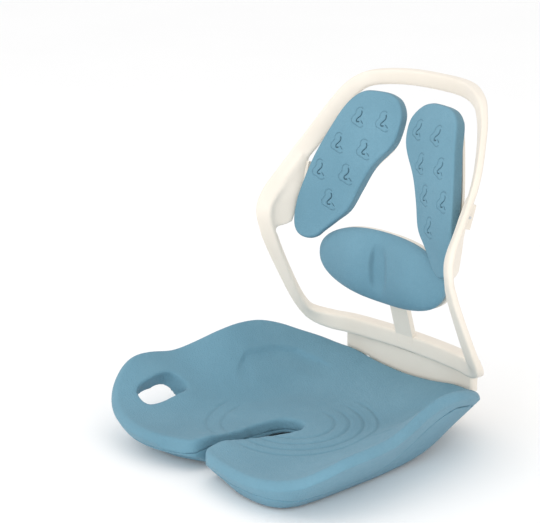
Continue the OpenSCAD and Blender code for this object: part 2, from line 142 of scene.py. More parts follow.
def apply_all(obj):
    """Bakes the modifiers of obj into its mesh."""
    dg = bpy.context.evaluated_depsgraph_get()
    mesh = bpy.data.meshes.new_from_object(obj.evaluated_get(dg))
    obj.modifiers.clear()
    old, obj.data = obj.data, mesh
    bpy.data.meshes.remove(old)
    mesh.polygons.foreach_set("use_smooth", [True] * len(mesh.polygons))
    return obj


def drop(*objs):
    for o in objs:
        bpy.data.objects.remove(o)


def outward_faces(obj):
    """Turns every face of a closed mesh to the outside."""
    bm = bmesh.new()
    bm.from_mesh(obj.data)
    bmesh.ops.recalc_face_normals(bm, faces=bm.faces)
    bm.to_mesh(obj.data)
    bm.free()
    return obj


def cut(obj, cutter):
    m = obj.modifiers.new("cut", "BOOLEAN")
    m.object, m.operation, m.solver = cutter, "DIFFERENCE", "EXACT"
    return apply_all(obj)


def join(obj, *others):
    for o in others:
        m = obj.modifiers.new("join", "BOOLEAN")
        m.object, m.operation, m.solver = o, "UNION", "EXACT"
    return apply_all(obj)


def remesh(obj, size_mm):
    m = obj.modifiers.new("remesh", "REMESH")
    m.mode, m.voxel_size, m.adaptivity = "VOXEL", size_mm * MM, 0
    return apply_all(obj)


def relax(obj, weight, rounds, factor=0.5):
    """Evens out the points of obj where weight is above 0."""
    co = coords(obj)
    e = np.empty(len(obj.data.edges) * 2, np.int64)
    obj.data.edges.foreach_get("vertices", e)
    e = e.reshape(-1, 2)
    n = len(co)
    share = 1 / np.maximum(np.bincount(e.ravel(), minlength=n), 1)
    for _ in range(rounds):
        mean = np.stack([
            (np.bincount(e[:, 0], co[e[:, 1], k], n) + np.bincount(e[:, 1], co[e[:, 0], k], n)) * share
            for k in range(3)], 1)
        co += (mean - co) * (factor * weight)[:, None]
    set_coords(obj, co)


def tree_of(obj):
    return BVHTree.FromPolygons([tuple(v) for v in coords(obj)], [tuple(p.vertices) for p in obj.data.polygons])


def snap(obj, tree, weight):
    """Draws the points of obj back to a finer surface, as far as weight says."""
    co = coords(obj)
    for i in np.nonzero(weight > 0)[0]:
        hit = tree.find_nearest(Vector(co[i]), 6.0)
        if hit[0] is not None:
            co[i] += (np.array(hit[0]) - co[i]) * weight[i]
    set_coords(obj, co)


def to_line(xy, line, closed=False):
    """Distance of each point to a polyline in the plane."""
    line = np.vstack([line, line[:1]]) if closed else np.asarray(line)
    a, d = line[:-1], np.diff(line, axis=0)
    dd = np.maximum((d**2).sum(1), 1e-12)
    out = np.empty(len(xy))
    for k in range(0, len(xy), 4000):
        p = xy[k:k + 4000]
        t = np.clip(((p[:, None] - a) * d).sum(2) / dd, 0, 1)
        out[k:k + 4000] = np.sqrt((((a + t[..., None] * d) - p[:, None]) ** 2).sum(2).min(1))
    return out


def inside(xy, loop):
    """Whether each point lies in a closed polygon."""
    x, y = xy[:, 0], xy[:, 1]
    hit = np.zeros(len(xy), bool)
    for (x0, y0), (x1, y1) in zip(loop, np.roll(loop, -1, 0)):
        if y0 != y1:
            hit ^= ((y0 > y) != (y1 > y)) & (x < (x1 - x0) * (y - y0) / (y1 - y0) + x0)
    return hit


# ---------- materials ----------

class Nodes:
    """Short calls for building a node material."""

    def __init__(self, name):
        self.mat = bpy.data.materials.new(name)
        self.mat.use_nodes = True
        self.tree = self.mat.node_tree
        self.tree.nodes.clear()
        self.out = self.add("ShaderNodeOutputMaterial")
        self.shader = self.add("ShaderNodeBsdfPrincipled")
        self.link(self.shader.outputs[0], self.out.inputs[0])
        self.place = self.add("ShaderNodeTexCoord").outputs["Object"]

    def add(self, kind, **settings):
        n = self.tree.nodes.new(kind)
        for k, v in settings.items():
            setattr(n, k, v)
        return n

    def link(self, a, b):
        self.tree.links.new(a, b)

    def put(self, socket, value):
        if isinstance(value, bpy.types.NodeSocket):
            self.link(value, socket)
        else:
            socket.default_value = value

    def noise(self, scale, detail=2.0, rough=0.5, place=None):
        n = self.add("ShaderNodeTexNoise")
        self.link(place or self.place, n.inputs["Vector"])
        n.inputs["Scale"].default_value = scale
        n.inputs["Detail"].default_value = detail
        n.inputs["Roughness"].default_value = rough
        return n.outputs[0]

    def cells(self, scale, feature="F1", randomness=1.0):
        n = self.add("ShaderNodeTexVoronoi", feature=feature)
        self.link(self.place, n.inputs["Vector"])
        n.inputs["Scale"].default_value = scale
        n.inputs["Randomness"].default_value = randomness
        return n.outputs["Distance"]

    def math(self, op, a, b=0.0):
        n = self.add("ShaderNodeMath", operation=op)
        self.put(n.inputs[0], a)
        self.put(n.inputs[1], b)
        return n.outputs[0]

    def span(self, value, a, b, c, d):
        n = self.add("ShaderNodeMapRange")
        self.put(n.inputs[0], value)
        for k, v in enumerate((a, b, c, d)):
            n.inputs[k + 1].default_value = v
        return n.outputs[0]

    def mix(self, f, a, b, mode="MIX"):
        n = self.add("ShaderNodeMix", data_type="RGBA", blend_type=mode)
        self.put(n.inputs[0], f)
        self.put(n.inputs[6], a)
        self.put(n.inputs[7], b)
        return n.outputs[2]

    def bump(self, height, strength, distance, under=None):
        n = self.add("ShaderNodeBump")
        n.inputs["Strength"].default_value = strength
        n.inputs["Distance"].default_value = distance
        self.put(n.inputs["Height"], height)
        if under is not None:
            self.link(under, n.inputs["Normal"])
        return n.outputs[0]


def rgb(r, g, b):
    """Linear colour from an 8-bit sRGB one."""
    def one(v):
        v /= 255
        return v / 12.92 if v <= 0.04045 else ((v + 0.055) / 1.055) ** 2.4
    return (one(r), one(g), one(b), 1.0)


def foam_material(name, main, light, dark, grain=1.0):
    """Moulded foam with a fine grained skin; painted shade darkens it in pressed grooves, creases and on shaded side
    walls, as a point attribute says.
    """
    m = Nodes(name)
    broad = m.span(m.noise(9, 3), 0.3, 0.7, 0, 1)
    mottle = m.span(m.noise(160, 4, 0.6), 0.35, 0.65, 0, 1)
    pores = m.cells(900)
    base = m.mix(broad, dark, light)
    base = m.mix(m.math("MULTIPLY", mottle, 0.35), base, main)
    base = m.mix(m.span(pores, 0.0, 0.45, 0.20, 0.0), base, tuple(c * 0.55 for c in dark[:3]) + (1,))
    # painted shade: a point attribute mixes in up to 55% of a deep tone, a quarter of the dark colour, where shade
    # falls in grooves, creases and on side walls
    painted_shade = m.add("ShaderNodeAttribute", attribute_name="painted_shade").outputs["Fac"]
    base = m.mix(m.math("MULTIPLY", painted_shade, 0.55), base, tuple(c * 0.25 for c in dark[:3]) + (1,))
    m.link(base, m.shader.inputs["Base Color"])
    m.link(m.span(mottle, 0, 1, 0.56, 0.70), m.shader.inputs["Roughness"])
    m.shader.inputs["Specular IOR Level"].default_value = 0.3
    m.shader.inputs["Sheen Weight"].default_value = 0.08
    m.shader.inputs["Sheen Roughness"].default_value = 0.5
    skin = m.bump(m.noise(420, 3, 0.6), 0.66 * grain, 0.0013)
    skin = m.bump(pores, 0.36 * grain, 0.0008, skin)
    m.link(skin, m.shader.inputs["Normal"])
    return m.mat


def plastic_material(name, main, light, rough=(0.36, 0.46), grain=0.5):
    """Moulded plastic with a fine spark-eroded grain."""
    m = Nodes(name)
    broad = m.span(m.noise(14, 3), 0.3, 0.7, 0, 1)
    fine = m.noise(1300, 2, 0.5)
    m.link(m.mix(broad, main, light), m.shader.inputs["Base Color"])
    m.link(m.span(m.noise(60, 3), 0.3, 0.7, *rough), m.shader.inputs["Roughness"])
    m.shader.inputs["Specular IOR Level"].default_value = 0.4
    m.link(m.bump(fine, 0.10 * grain, 0.0004), m.shader.inputs["Normal"])
    return m.mat


def steel_material():
    m = Nodes("zinc_plated_steel")
    m.shader.inputs["Metallic"].default_value = 1.0
    lines = m.noise(500, 2)
    m.link(m.mix(m.span(m.noise(80, 3), 0.3, 0.7, 0, 1), (0.50, 0.51, 0.52, 1), (0.68, 0.69, 0.70, 1)),
           m.shader.inputs["Base Color"])
    m.link(m.span(lines, 0.3, 0.7, 0.24, 0.38), m.shader.inputs["Roughness"])
    m.link(m.bump(lines, 0.05, 0.0003), m.shader.inputs["Normal"])
    return m.mat


def rubber_material():
    m = Nodes("black_rubber")
    speck = m.span(m.noise(300, 3), 0.35, 0.65, 0, 1)
    m.link(m.mix(speck, (0.022, 0.022, 0.024, 1), (0.040, 0.040, 0.042, 1)), m.shader.inputs["Base Color"])
    m.link(m.span(speck, 0, 1, 0.62, 0.78), m.shader.inputs["Roughness"])
    m.link(m.bump(m.noise(700, 2), 0.15, 0.0004), m.shader.inputs["Normal"])
    return m.mat


FOAM = foam_material("blue_foam", rgb(104, 147, 166), rgb(110, 153, 172), rgb(98, 141, 160))
SHELL = foam_material("blue_foam_under", rgb(102, 145, 164), rgb(107, 150, 169), rgb(96, 139, 158), 0.8)
IVORY = plastic_material("ivory_plastic", rgb(230, 221, 208), rgb(235, 227, 215))
STEEL = steel_material()
RUBBER = rubber_material()


def mark_painted_shade(obj, depth, full):
    """Stores painted shade for each point of obj, from 0 to 1: depth over full, such as how deep the point lies in a
    pressed groove.
    """
    layer = obj.data.attributes.new("painted_shade", "FLOAT", "POINT")
    layer.data.foreach_set("value", np.clip(depth / full, 0, 1).astype(np.float32))


def paint(obj, mat):
    obj.data.materials.clear()
    obj.data.materials.append(mat)
    return obj


def piece(obj, body, mat, slot, *stands_for):
    paint(obj, mat)
    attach(obj, body)
    if stands_for:
        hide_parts(*stands_for)
    return obj


# ---------- seat ----------

SEAT_HALF = [
    [0, -203, 43, 0, -188, 8, 0.30],
    [34, -209, 42, 32, -193, 6, 0.30],
    [75, -216, 42, 75, -205, 4, 0.30],
    [115, -217, 43, 115, -205, 3, 0.32],
    [150, -210, 47, 138, -197, 3, 0.42],
    [178, -197, 55, 150, -178, 3, 0.55],
    [197, -178, 67, 153, -150, 3, 0.66],
    [208, -150, 78, 153, -118, 3, 0.72],
    [211, -112, 82, 152, -88, 3, 0.74],
    [208, -76, 84, 151, -60, 3, 0.75],
    [203, -40, 92, 150, -26, 4, 0.55],
    [197, -6, 101, 149, 5, 6, 0.34],
    [192, 27, 106, 147, 35, 9, 0.22],
    [188, 60, 104, 143, 62, 13, 0.13],
    [180, 90, 95, 136, 88, 17, 0.12],
    [166, 116, 83, 126, 112, 24, 0.16],
    [146, 136, 74, 112, 130, 30, 0.24],
    [122, 148, 67, 95, 142, 34, 0.30],
    [92, 153, 64, 70, 147, 36, 0.30],
    [50, 153, 58, 40, 149, 36, 0.30],
    [0, 153, 55, 0, 150, 35, 0.30],
]
MID = np.array([0.0, -47.0])
FLOOR_Z, ARCH_Z, FOAM_T, SHELL_T = 34.0, 13.0, 15.0, 5.0
EDGE_OUT, EDGE_DOWN = 9.0, 11.0
HANDLE_LIFT, LIFT_Y, LIFT_SPREAD = 13.0, -140.0, 50.0

stations = closed_curve(mirrored(SEAT_HALF, [-1, 1, 1, -1, 1, 1, 1]), 12)
crest = stations[:, :3].copy()
crest[:, 2] += np.where(crest[:, 0] < 0, HANDLE_LIFT * np.exp(-((crest[:, 1] - LIFT_Y) / LIFT_SPREAD) ** 2), 0)
foot = stations[:, 3:6]
# the corner with the hand hole is rounded up underneath
corner_up = 13 * smooth(0, 32, -foot[:, 0]) * smooth(90, 145, -foot[:, 1])
seam = stations[:, 6]
out_dir = crest[:, :2] - MID
out_dir /= np.linalg.norm(out_dir, axis=1)[:, None]

RING_R = (55.5, 74.3, 93.1, 112.3)


# Upper edge of the pocket in each side bolster, as angle and radius about the seat's middle
POCKET_A = [116, 121, 127, 133.2, 136.4, 141.6, 147.3, 153.3, 160.1, 165.2, 169.8, 174]
POCKET_R = [170, 183, 195, 199, 201.6, 196.5, 188.9, 180.2, 173.3, 160.3, 147.3, 136]


def seat_detail(x, y):
    """Round grooves and side pockets pressed into the seat's top, as a height to add."""
    rho = np.hypot(x, y + 47.5)
    ang = np.degrees(np.arctan2(y + 47.5, x))
    z = np.zeros_like(x)
    for k, r in enumerate(RING_R):
        show = smooth(-88, -70, ang) * (1 - smooth(70, 100, ang))
        if k >= 2:
            show = np.maximum(show, 0.7 * smooth(-178, -165, ang) * (1 - smooth(-100, -92, ang)))
        z -= 1.9 * np.exp(-((rho - r) / 1.7) ** 2) * show
    side = np.degrees(np.arctan2(y + 47, -np.abs(x)))
    gap = np.interp(side, POCKET_A, POCKET_R) - np.hypot(x, y + 47)
    reach = smooth(118, 132, side) * (1 - smooth(160, 172, side))
    return z - 4.6 * smooth(-1.2, 4.5, gap) * (1 - smooth(5, 46, gap)) * reach


def top_ring(r, down=0.0, detail=False):
    xy = MID + (crest[:, :2] - MID) * r
    g = max(0.0, (r - 0.42) / 0.58) ** 1.7
    lobe = np.clip((-55 - xy[:, 1]) / 120, 0, 1)
    z = FLOOR_Z + (crest[:, 2] - FLOOR_Z) * g
    z = z + 7 * np.exp(-(xy[:, 0] / 45) ** 2) * lobe * (1 - smooth(0.75, 1, r)) - down
    if detail:
        z = z + seat_detail(xy[:, 0], xy[:, 1])
    return np.column_stack([xy, z])


def roll_ring(a):
    s, c = math.sin(math.radians(a)), math.cos(math.radians(a))
    return np.column_stack([crest[:, :2] + out_dir * EDGE_OUT * s, crest[:, 2] - EDGE_DOWN * (1 - c)])


def wall_ring(f):
    f = np.broadcast_to(f, len(crest))
    p = roll_ring(90) * (1 - f)[:, None] + foot * f[:, None]
    p[:, 2] += corner_up * f**2
    p[:, 2] -= 2.5 * np.sin(np.pi * f)
    return p


def under_ring(f):
    d, c = foot[:, :2] - MID, crest[:, :2] - MID
    r = f * np.linalg.norm(d, axis=1) / np.linalg.norm(c, axis=1)
    g = np.maximum(0, (r - 0.42) / 0.58) ** 1.7
    top = FLOOR_Z + (crest[:, 2] - FLOOR_Z) * g - FOAM_T - SHELL_T
    s = smooth(0.5, 0.8, f)
    low = ARCH_Z * (1 - s) + foot[:, 2] * s + corner_up * smooth(0.88, 1.0, f)
    return np.column_stack([MID + d * f, np.minimum(low, top)])


def mid(z):
    return [MID[0], MID[1], z]


def seat_cushion_form():
    rings = [top_ring(r, 0, True) for r in np.concatenate([np.linspace(0.03, 0.42, 34), np.linspace(0.43, 0.995, 84)])]
    rings += [roll_ring(a) for a in range(0, 91, 9)]
    rings += [wall_ring(seam * f) for f in np.linspace(0.1, 1, 14)]
    rings += [top_ring(r, FOAM_T) for r in np.linspace(0.78, 0.05, 20)]
    return ring_solid("seat_cushion_foam", rings, mid(FLOOR_Z), mid(FLOOR_Z - FOAM_T))


def seat_shell_form():
    rings = [top_ring(r, FOAM_T) for r in np.linspace(0.05, 0.78, 20)]
    rings += [wall_ring(seam + (1 - seam) * f) for f in np.linspace(0, 1, 24)]
    rings += [under_ring(f) for f in np.linspace(0.98, 0.05, 40)]
    return ring_solid("seat_shell_skin", rings, mid(FLOOR_Z - FOAM_T), mid(ARCH_Z))


SLIT = open_curve([
    (60, -245), (40, -224), (25, -214), (13, -206.5), (6, -198), (2.5, -185), (3.5, -168), (6, -150), (12, -115),
    (18, -88), (22.5, -68), (20, -50), (12, -40.5), (0, -37), (-12, -40.5), (-20.5, -50), (-23.5, -68), (-24, -90),
    (-20.5, -125), (-18, -160), (-17.5, -186), (-22, -200), (-35, -208.5), (-55, -215.5), (-72, -228), (-85, -248),
], 6)


def prism(name, outline, low, high):
    n = len(outline)
    rings = [np.column_stack([outline, np.full(n, z)]) for z in (low, high)]
    return outward_faces(ring_solid(name, rings))


HOLE_MID = np.array([-163.0, -134.0, 62.0])
HOLE_TURN = turn(0, 28, 6)
HOLE = closed_curve([(18, 26), (15, 34), (6, 37), (-8, 35), (-16, 29), (-19, 18), (-19, 0), (-18, -18), (-14, -29),
                     (-4, -35), (8, -36), (16, -32), (19, -22), (19.5, 0)], 8)


def hole_cutter():
    rings = []
    for h in (-60, 60):
        local = np.column_stack([HOLE, np.full(len(HOLE), h)])
        rings.append(HOLE_MID + local @ HOLE_TURN.T)
    return outward_faces(ring_solid("hole_cutter", rings))


def seat_piece(form, size, seam_up):
    """Cuts the slit and the hand hole, and rounds the cut edges except where foam and shell meet."""
    fine = tree_of(form)
    for cutter in (prism("slit_cutter", SLIT, -30, 150), hole_cutter()):
        cut(form, cutter)
        drop(cutter)
    remesh(form, size)
    co = coords(form)
    near_slit = to_line(co[:, :2], SLIT)
    local = (co - HOLE_MID) @ HOLE_TURN
    near_hole = np.where(np.abs(local[:, 2]) < 60, to_line(local[:, :2], HOLE, True), 99)
    near = np.minimum(near_slit, near_hole)
    snap(form, fine, smooth(4.5, 7.5, near))
    meet = np.zeros(len(co))
    for i in np.nonzero(near < 9)[0]:
        hit = fine.find_nearest(Vector(co[i]), 9.0)
        if hit[0] is not None and hit[1][2] * seam_up > 0.3:
            meet[i] = 1 - smooth(1.5, 6, hit[3])
    relax(form, (1 - smooth(6, 9, near)) * (1 - meet), 14)
    return form


cushion = seat_piece(outward_faces(seat_cushion_form()), 1.9, -1)
shell = seat_piece(outward_faces(seat_shell_form()), 2.2, 1)
piece(cushion, "seat", FOAM, "foam", "seat_cushion")
piece(shell, "seat", SHELL, "seat_shell", "seat_shell")
co = coords(cushion)
rho = np.hypot(co[:, 0], co[:, 1] + 47.5)
# painted shade in the round grooves of the seat's top, as dark as each groove is deep
ring_dip = np.maximum(0, -seat_detail(co[:, 0], co[:, 1])) * (rho < 120) * (co[:, 2] > 26)
mark_painted_shade(cushion, ring_dip * (np.abs(co[:, 0]) < 125), 6.5)


# ---------- backrest frame ----------

BAND_HALF = [
    [0, 217.3, 450, 10.5, 8, 0],
    [56, 208, 450, 10.5, 8, 0],
    [98, 185, 445, 10.5, 6.5, 8],
    [119, 169, 430, 11.5, 5, 20],
    [134, 153, 404, 12.5, 4.5, 30],
    [152, 125, 360, 13, 4.5, 34],
    [165, 90, 318, 13, 4.5, 33],
    [172, 63, 286, 12.5, 4.5, 30],
    [173, 56, 260, 12, 4.5, 28],
    [170, 67, 222, 11, 4.5, 20],
    [167, 93, 167, 10.5, 4.5, 10],
    [163.5, 114, 129, 10.5, 5, 5],
    [156, 131, 109, 11, 7, 0],
    [135, 149, 99.5, 12, 9.5, 0],
    [95, 162, 98, 12.5, 11, 0],
    [0, 168, 98, 12.5, 11, 0],
]


def band_axes(steps):
    """Middle line of the band with its two section axes and half sizes."""
    b = closed_curve(mirrored(BAND_HALF, [-1, 1, 1, 1, 1, 1]), steps)
    p = b[:, :3]
    t = np.roll(p, -1, 0) - np.roll(p, 1, 0)
    t /= np.linalg.norm(t, axis=1)[:, None]
    flat = np.cross(t, [0.0, 1.0, 0.0])
    flat /= np.linalg.norm(flat, axis=1)[:, None]
    rear = np.cross(flat, t)
    f = np.radians(b[:, 5])[:, None]
    return b, p, flat * np.cos(f) - rear * np.sin(f), flat * np.sin(f) + rear * np.cos(f)


def band_form(steps=14, sides=64, square=0.34):
    b, p, out, deep = band_axes(steps)
    a = np.radians(360 * (np.arange(sides) + 0.5) / sides)
    u, v = power(np.cos(a), square), power(np.sin(a), square)
    rings = (p[:, None] + out[:, None] * (b[:, 3][:, None] * u)[..., None]
             + deep[:, None] * (b[:, 4][:, None] * v)[..., None])
    m = len(rings)
    return outward_faces(make("back_frame_moulding", rings.reshape(-1, 3), ring_faces(m, sides, True)))


WING_AT = np.array([76.3, 123.3, 352.4])
WING_TURN = turn(-16.8, 0, -9.7)


def in_wing(points, side):
    """Points of a wing's own frame (X outward, Y back from its front, Z up along it) in the shared frame."""
    p = WING_AT + np.asarray(points, float) @ WING_TURN.T
    p[:, 0] *= side
    return p


def sheet_solid(name, front, back):
    """A closed solid between two equal grids of points."""
    front, back = np.asarray(front, float), np.asarray(back, float)
    m, n = front.shape[:2]
    verts = np.vstack([front.reshape(-1, 3), back.reshape(-1, 3)])
    faces, k = [], m * n
    for i in range(m - 1):
        for j in range(n - 1):
            a, b, c, d = i * n + j, i * n + j + 1, (i + 1) * n + j + 1, (i + 1) * n + j
            faces += [[a, b, c, d], [k + d, k + c, k + b, k + a]]
    rim = [j for j in range(n)] + [i * n + n - 1 for i in range(1, m)]
    rim += [(m - 1) * n + j for j in range(n - 2, -1, -1)] + [i * n for i in range(m - 2, 0, -1)]
    for a, b in zip(rim, rim[1:] + rim[:1]):
        faces.append([b, a, k + a, k + b])
    return outward_faces(make(name, verts, faces))


def web_form(side):
    """The web that reaches from the band to the wing's hinge bracket."""
    outer = open_curve([(169, 62, 238), (170, 58.5, 262), (168, 68, 290), (162, 86, 316), (155, 108, 342)], 8)
    end = open_curve([(83, 12, -105), (79.8, 11.5, -80), (75.6, 11.4, -58), (74.3, 12.6, -38), (74.3, 14, -19)], 8)
    inner = in_wing(end, 1)
    f = np.linspace(0, 1, 14)[None, :, None]
    sheet = outer[:, None] * (1 - f) + inner[:, None] * f
    nrm = np.cross(sheet[1:, 1:] - sheet[:-1, :-1], sheet[1:, :-1] - sheet[:-1, 1:])
    nrm = nrm.reshape(-1, 3).mean(0)
    nrm /= np.linalg.norm(nrm)
    half = 3.4 + 1.0 * (1 - smooth(0, 0.45, f))
    front, back = sheet + nrm * half, sheet - nrm * half
    front[..., 0] *= side
    back[..., 0] *= side
    return sheet_solid("web", front, back)


def lug_form(side):
    """One of the two lugs that carry the frame on the rocking pin."""
    a = np.radians(np.linspace(180, 360, 25))
    loop = [(190 + 10 * math.cos(t), 68 + 10 * math.sin(t)) for t in a]
    loop = [(172, 90), (180, 88)] + loop + [(200, 100), (196, 106), (172, 106)]
    rings = [[(x * side, y, z) for y, z in loop] for x in (31, 45)]
    lug = outward_faces(ring_solid("lug", rings))
    b = np.radians(np.arange(0, 360, 10))
    bore = [[(x, 190 + 7 * math.cos(t), 68 + 7 * math.sin(t)) for t in b] for x in (20 * side, 60 * side)]
    bore = outward_faces(ring_solid("bore", bore))
    cut(lug, bore)
    drop(bore)
    return lug


def to_band(points):
    """How deep each point lies in the zone where the web leaves the band, in mm."""
    loop = band_axes(6)[1]
    out = np.empty(len(points))
    for k in range(0, len(points), 4000):
        out[k:k + 4000] = np.sqrt(((points[k:k + 4000, None] - loop) ** 2).sum(2).min(1))
    return 26 - out


band = band_form()
webs = [f(s) for s in (LEFT, RIGHT) for f in (web_form, lug_form)]
join(band, *webs)
web_tree = tree_of(band)
drop(*webs)
remesh(band, 1.5)
co = coords(band)
on_web = np.zeros(len(co))
for s in (LEFT, RIGHT):
    on_web = np.maximum(on_web, (1 - smooth(18, 30, np.abs(co[:, 2] - 290) - 30)) * (co[:, 0] * s > 120))
snap(band, web_tree, 1 - on_web * 0.6)
relax(band, 0.25 + 0.75 * on_web, 6)
relax(band, on_web * smooth(0, 12, to_band(co)), 24)
piece(band, "backrest", IVORY, "ivory", "back_frame")


# ---------- pads ----------

WING_OUTLINE = [
    (-28, 90), (0, 87), (20, 70), (38, 32), (54, -7), (66, -46), (73, -75), (75, -102), (69, -117), (54, -122.5),
    (39, -118), (27, -107), (10, -91.5), (-9, -73), (-23, -41), (-39, -10), (-63, 18), (-71, 37), (-72, 62),
    (-61, 80), (-46, 88),
]
MOTIFS = [(-6.5, 50.3), (18.3, 11.8), (40.7, -27.8), (-46.5, 50.2), (-24.3, 9.2), (-1.8, -28.1), (20.1, -65.6)]
WING_T = 16.0


def hex_grid(lo, hi, step):
    gu, gv = np.meshgrid(np.arange(lo[0], hi[0], step), np.arange(lo[1], hi[1], step * 0.866))
    gu = gu + (np.arange(gu.shape[0]) % 2)[:, None] * step / 2
    return np.column_stack([gu.ravel(), gv.ravel()])


def pad_form(name, outline, step, edge_r, thick, back_in, face, place, dense=()):
    """A foam pad with a dense front: face(u, v, d) gives the front's depth at distance d from the edge."""
    rim = even(outline, int(np.linalg.norm(np.diff(np.vstack([outline, outline[:1]]), axis=0), axis=1).sum() / step))
    area = np.roll(rim, -1, 0) - np.roll(rim, 1, 0)
    nrm = np.column_stack([area[:, 1], -area[:, 0]])
    nrm /= np.linalg.norm(nrm, axis=1)[:, None]
    x, y = rim[:, 0], rim[:, 1]
    if (x * np.roll(y, -1) - np.roll(x, -1) * y).sum() < 0:
        nrm = -nrm
    insets = edge_r * (1 - np.cos(np.radians(np.linspace(0, 90, 9))))[1:]
    loops = [rim] + [rim - nrm * d for d in insets]
    lo, hi = rim.min(0), rim.max(0)
    grid = hex_grid(lo, hi, step)
    if len(dense):
        far = np.sqrt(((grid[:, None] - dense) ** 2).sum(2).min(1))
        grid = grid[far > 15.5]
        fine = hex_grid(np.array([-15, -15]), np.array([15, 15]), 0.5)
        fine = fine[np.hypot(fine[:, 0], fine[:, 1]) < 15]
        near = [fine + c for c in dense]
        for k, part in enumerate(near):
            d = np.sqrt(((part[:, None] - dense) ** 2).sum(2))
            near[k] = part[d.argmin(1) == k]
        grid = np.vstack([grid, *near])
    grid = grid[inside(grid, loops[-1])]
    grid = grid[to_line(grid, loops[-1], True) > step * 0.7]
    pts = np.vstack([*loops, grid])
    n = len(rim)
    edges = [(j, (j + 1) % n) for j in range(n)]
    out = delaunay_2d_cdt([Vector(p) for p in pts], edges, [], 1, 1e-5)
    uv = np.array([tuple(p) for p in out[0]])
    tris = [list(f) for f in out[2]]
    d = to_line(uv, rim, True)
    d[:n] = 0
    roll = np.where(d < edge_r, edge_r - np.sqrt(np.maximum(0, edge_r**2 - (edge_r - d) ** 2)), 0)
    front = np.column_stack([uv[:, 0], roll + face(uv[:, 0], uv[:, 1], d), uv[:, 1]])
    # the rim may have been renumbered, so find it again by place
    order = [int(np.argmin(((uv - p) ** 2).sum(1))) for p in rim]
    verts = [front]
    base = len(uv)
    faces = tris
    prev = order
    edge_y = front[order, 1]
    back_y = np.clip(edge_y - edge_r + thick, 11, 19)
    for f, pull in ((0.35, 0.0), (0.7, 0.1), (0.9, 0.5), (1.0, 1.4)):
        yy = edge_y + (back_y - edge_y) * f
        ring = rim - nrm * (back_in * pull)
        verts.append(np.column_stack([ring[:, 0], yy, ring[:, 1]]))
        cur = list(range(base, base + n))
        faces += [[prev[j], prev[(j + 1) % n], cur[(j + 1) % n], cur[j]] for j in range(n)]
        prev, base = cur, base + n
    ring = rim - nrm * 9
    verts.append(np.column_stack([ring[:, 0], np.full(n, thick), ring[:, 1]]))
    cur = list(range(base, base + n))
    faces += [[prev[j], prev[(j + 1) % n], cur[(j + 1) % n], cur[j]] for j in range(n)]
    prev, base = cur, base + n
    verts.append(np.array([[rim[:, 0].mean(), thick, rim[:, 1].mean()]]))
    faces += [[prev[j], prev[(j + 1) % n], base] for j in range(n)]
    obj = make(name, place(np.vstack(verts)), faces)
    return outward_faces(obj)


CLOUD = [(-3.0, 12.4), (-5.6, 10.6), (-6.6, 7.6), (-6.2, 4.6), (-7.8, 2.0), (-9.8, -0.8), (-10.2, -3.6),
         (-8.4, -6.8), (-5.0, -8.0), (-1.6, -9.2), (1.8, -10.8), (5.4, -11.2), (8.2, -9.6)]
CLOUD_TOP = [(-3.0, 12.4), (-0.2, 12.6), (2.4, 11.4)]
BEND = [(2.0, 9.2), (2.9, 6.6), (2.4, 3.6), (0.2, 0.8), (-2.2, -1.6), (-3.2, -4.0), (-1.8, -5.8), (1.2, -5.4)]
DASH = [(4.4, -3.6), (8.0, -7.0)]


def motif_depth(u, v, flip):
    """Depth pressed into the front at each motif: a bent slit, a short dash and a thin line round them."""
    deep = np.zeros_like(u)
    thin_line = np.vstack([open_curve(CLOUD_TOP[::-1], 4), open_curve(CLOUD, 4)])
    slit = open_curve(BEND, 4)
    for cu, cv in MOTIFS:
        near = (np.abs(u - cu) < 16) & (np.abs(v - cv) < 16)
        if not near.any():
            continue
        p = np.column_stack([(u[near] - cu) * flip, v[near] - cv])
        add = 0.9 * np.exp(-(to_line(p, thin_line * 1.12) / 0.55) ** 2)
        add = np.maximum(add, 2.6 * np.exp(-(to_line(p, slit) / 0.7) ** 4))
        add = np.maximum(add, 1.4 * np.exp(-(to_line(p, np.array(DASH)) / 0.6) ** 4))
        deep[near] = np.maximum(deep[near], add)
    return deep


EDGE_V = np.array([-122, -107, -90, -73, -64, -41, -21, -10, 8, 20, 36, 48, 62, 75, 79, 90])
OUT_Y = np.array([7.5, 4.0, 0.3, -2.2, -3.3, -4.9, -5.6, -5.6, -5.0, -4.5, -3.6, -2.6, -0.2, 3.0, 3.6, 5.0])
IN_Y = np.array([11.0, 10.0, 8.7, 6.2, 5.3, 3.2, 1.0, -0.3, -1.0, -1.4, -3.0, -3.0, -2.0, 0.6, 1.4, 4.0])
SPAN_V = np.array([-122, -107, -91.5, -73, -41, -10, 18, 37, 62, 80, 90])
SPAN_IN = np.array([45, 27, 10, -9, -23, -39, -63, -71, -72, -61, -40])
SPAN_OUT = np.array([55, 74, 74.5, 72.5, 64.5, 55, 44, 36, 24, 9, -20])


def wing_face(u, v, d, flip):
    """Depth of the wing's front: a long shallow arch, twisted from the inner to the outer edge."""
    grow = np.arange(-125, 95, 1.0)
    kernel = np.hanning(31) / np.hanning(31).sum()

    def along(table_v, table):
        fine = np.interp(grow, table_v, table)
        fine = np.convolve(np.pad(fine, 15, mode="edge"), kernel, "valid")
        return np.interp(v, grow, fine)
    lo, hi = along(SPAN_V, SPAN_IN), along(SPAN_V, SPAN_OUT)
    w = smooth(-0.15, 1.15, (u - lo) / np.maximum(hi - lo, 20))
    base = along(EDGE_V, IN_Y) * (1 - w) + along(EDGE_V, OUT_Y) * w
    return base - 1.6 * smooth(2, 34, d) + motif_depth(u, v, flip)


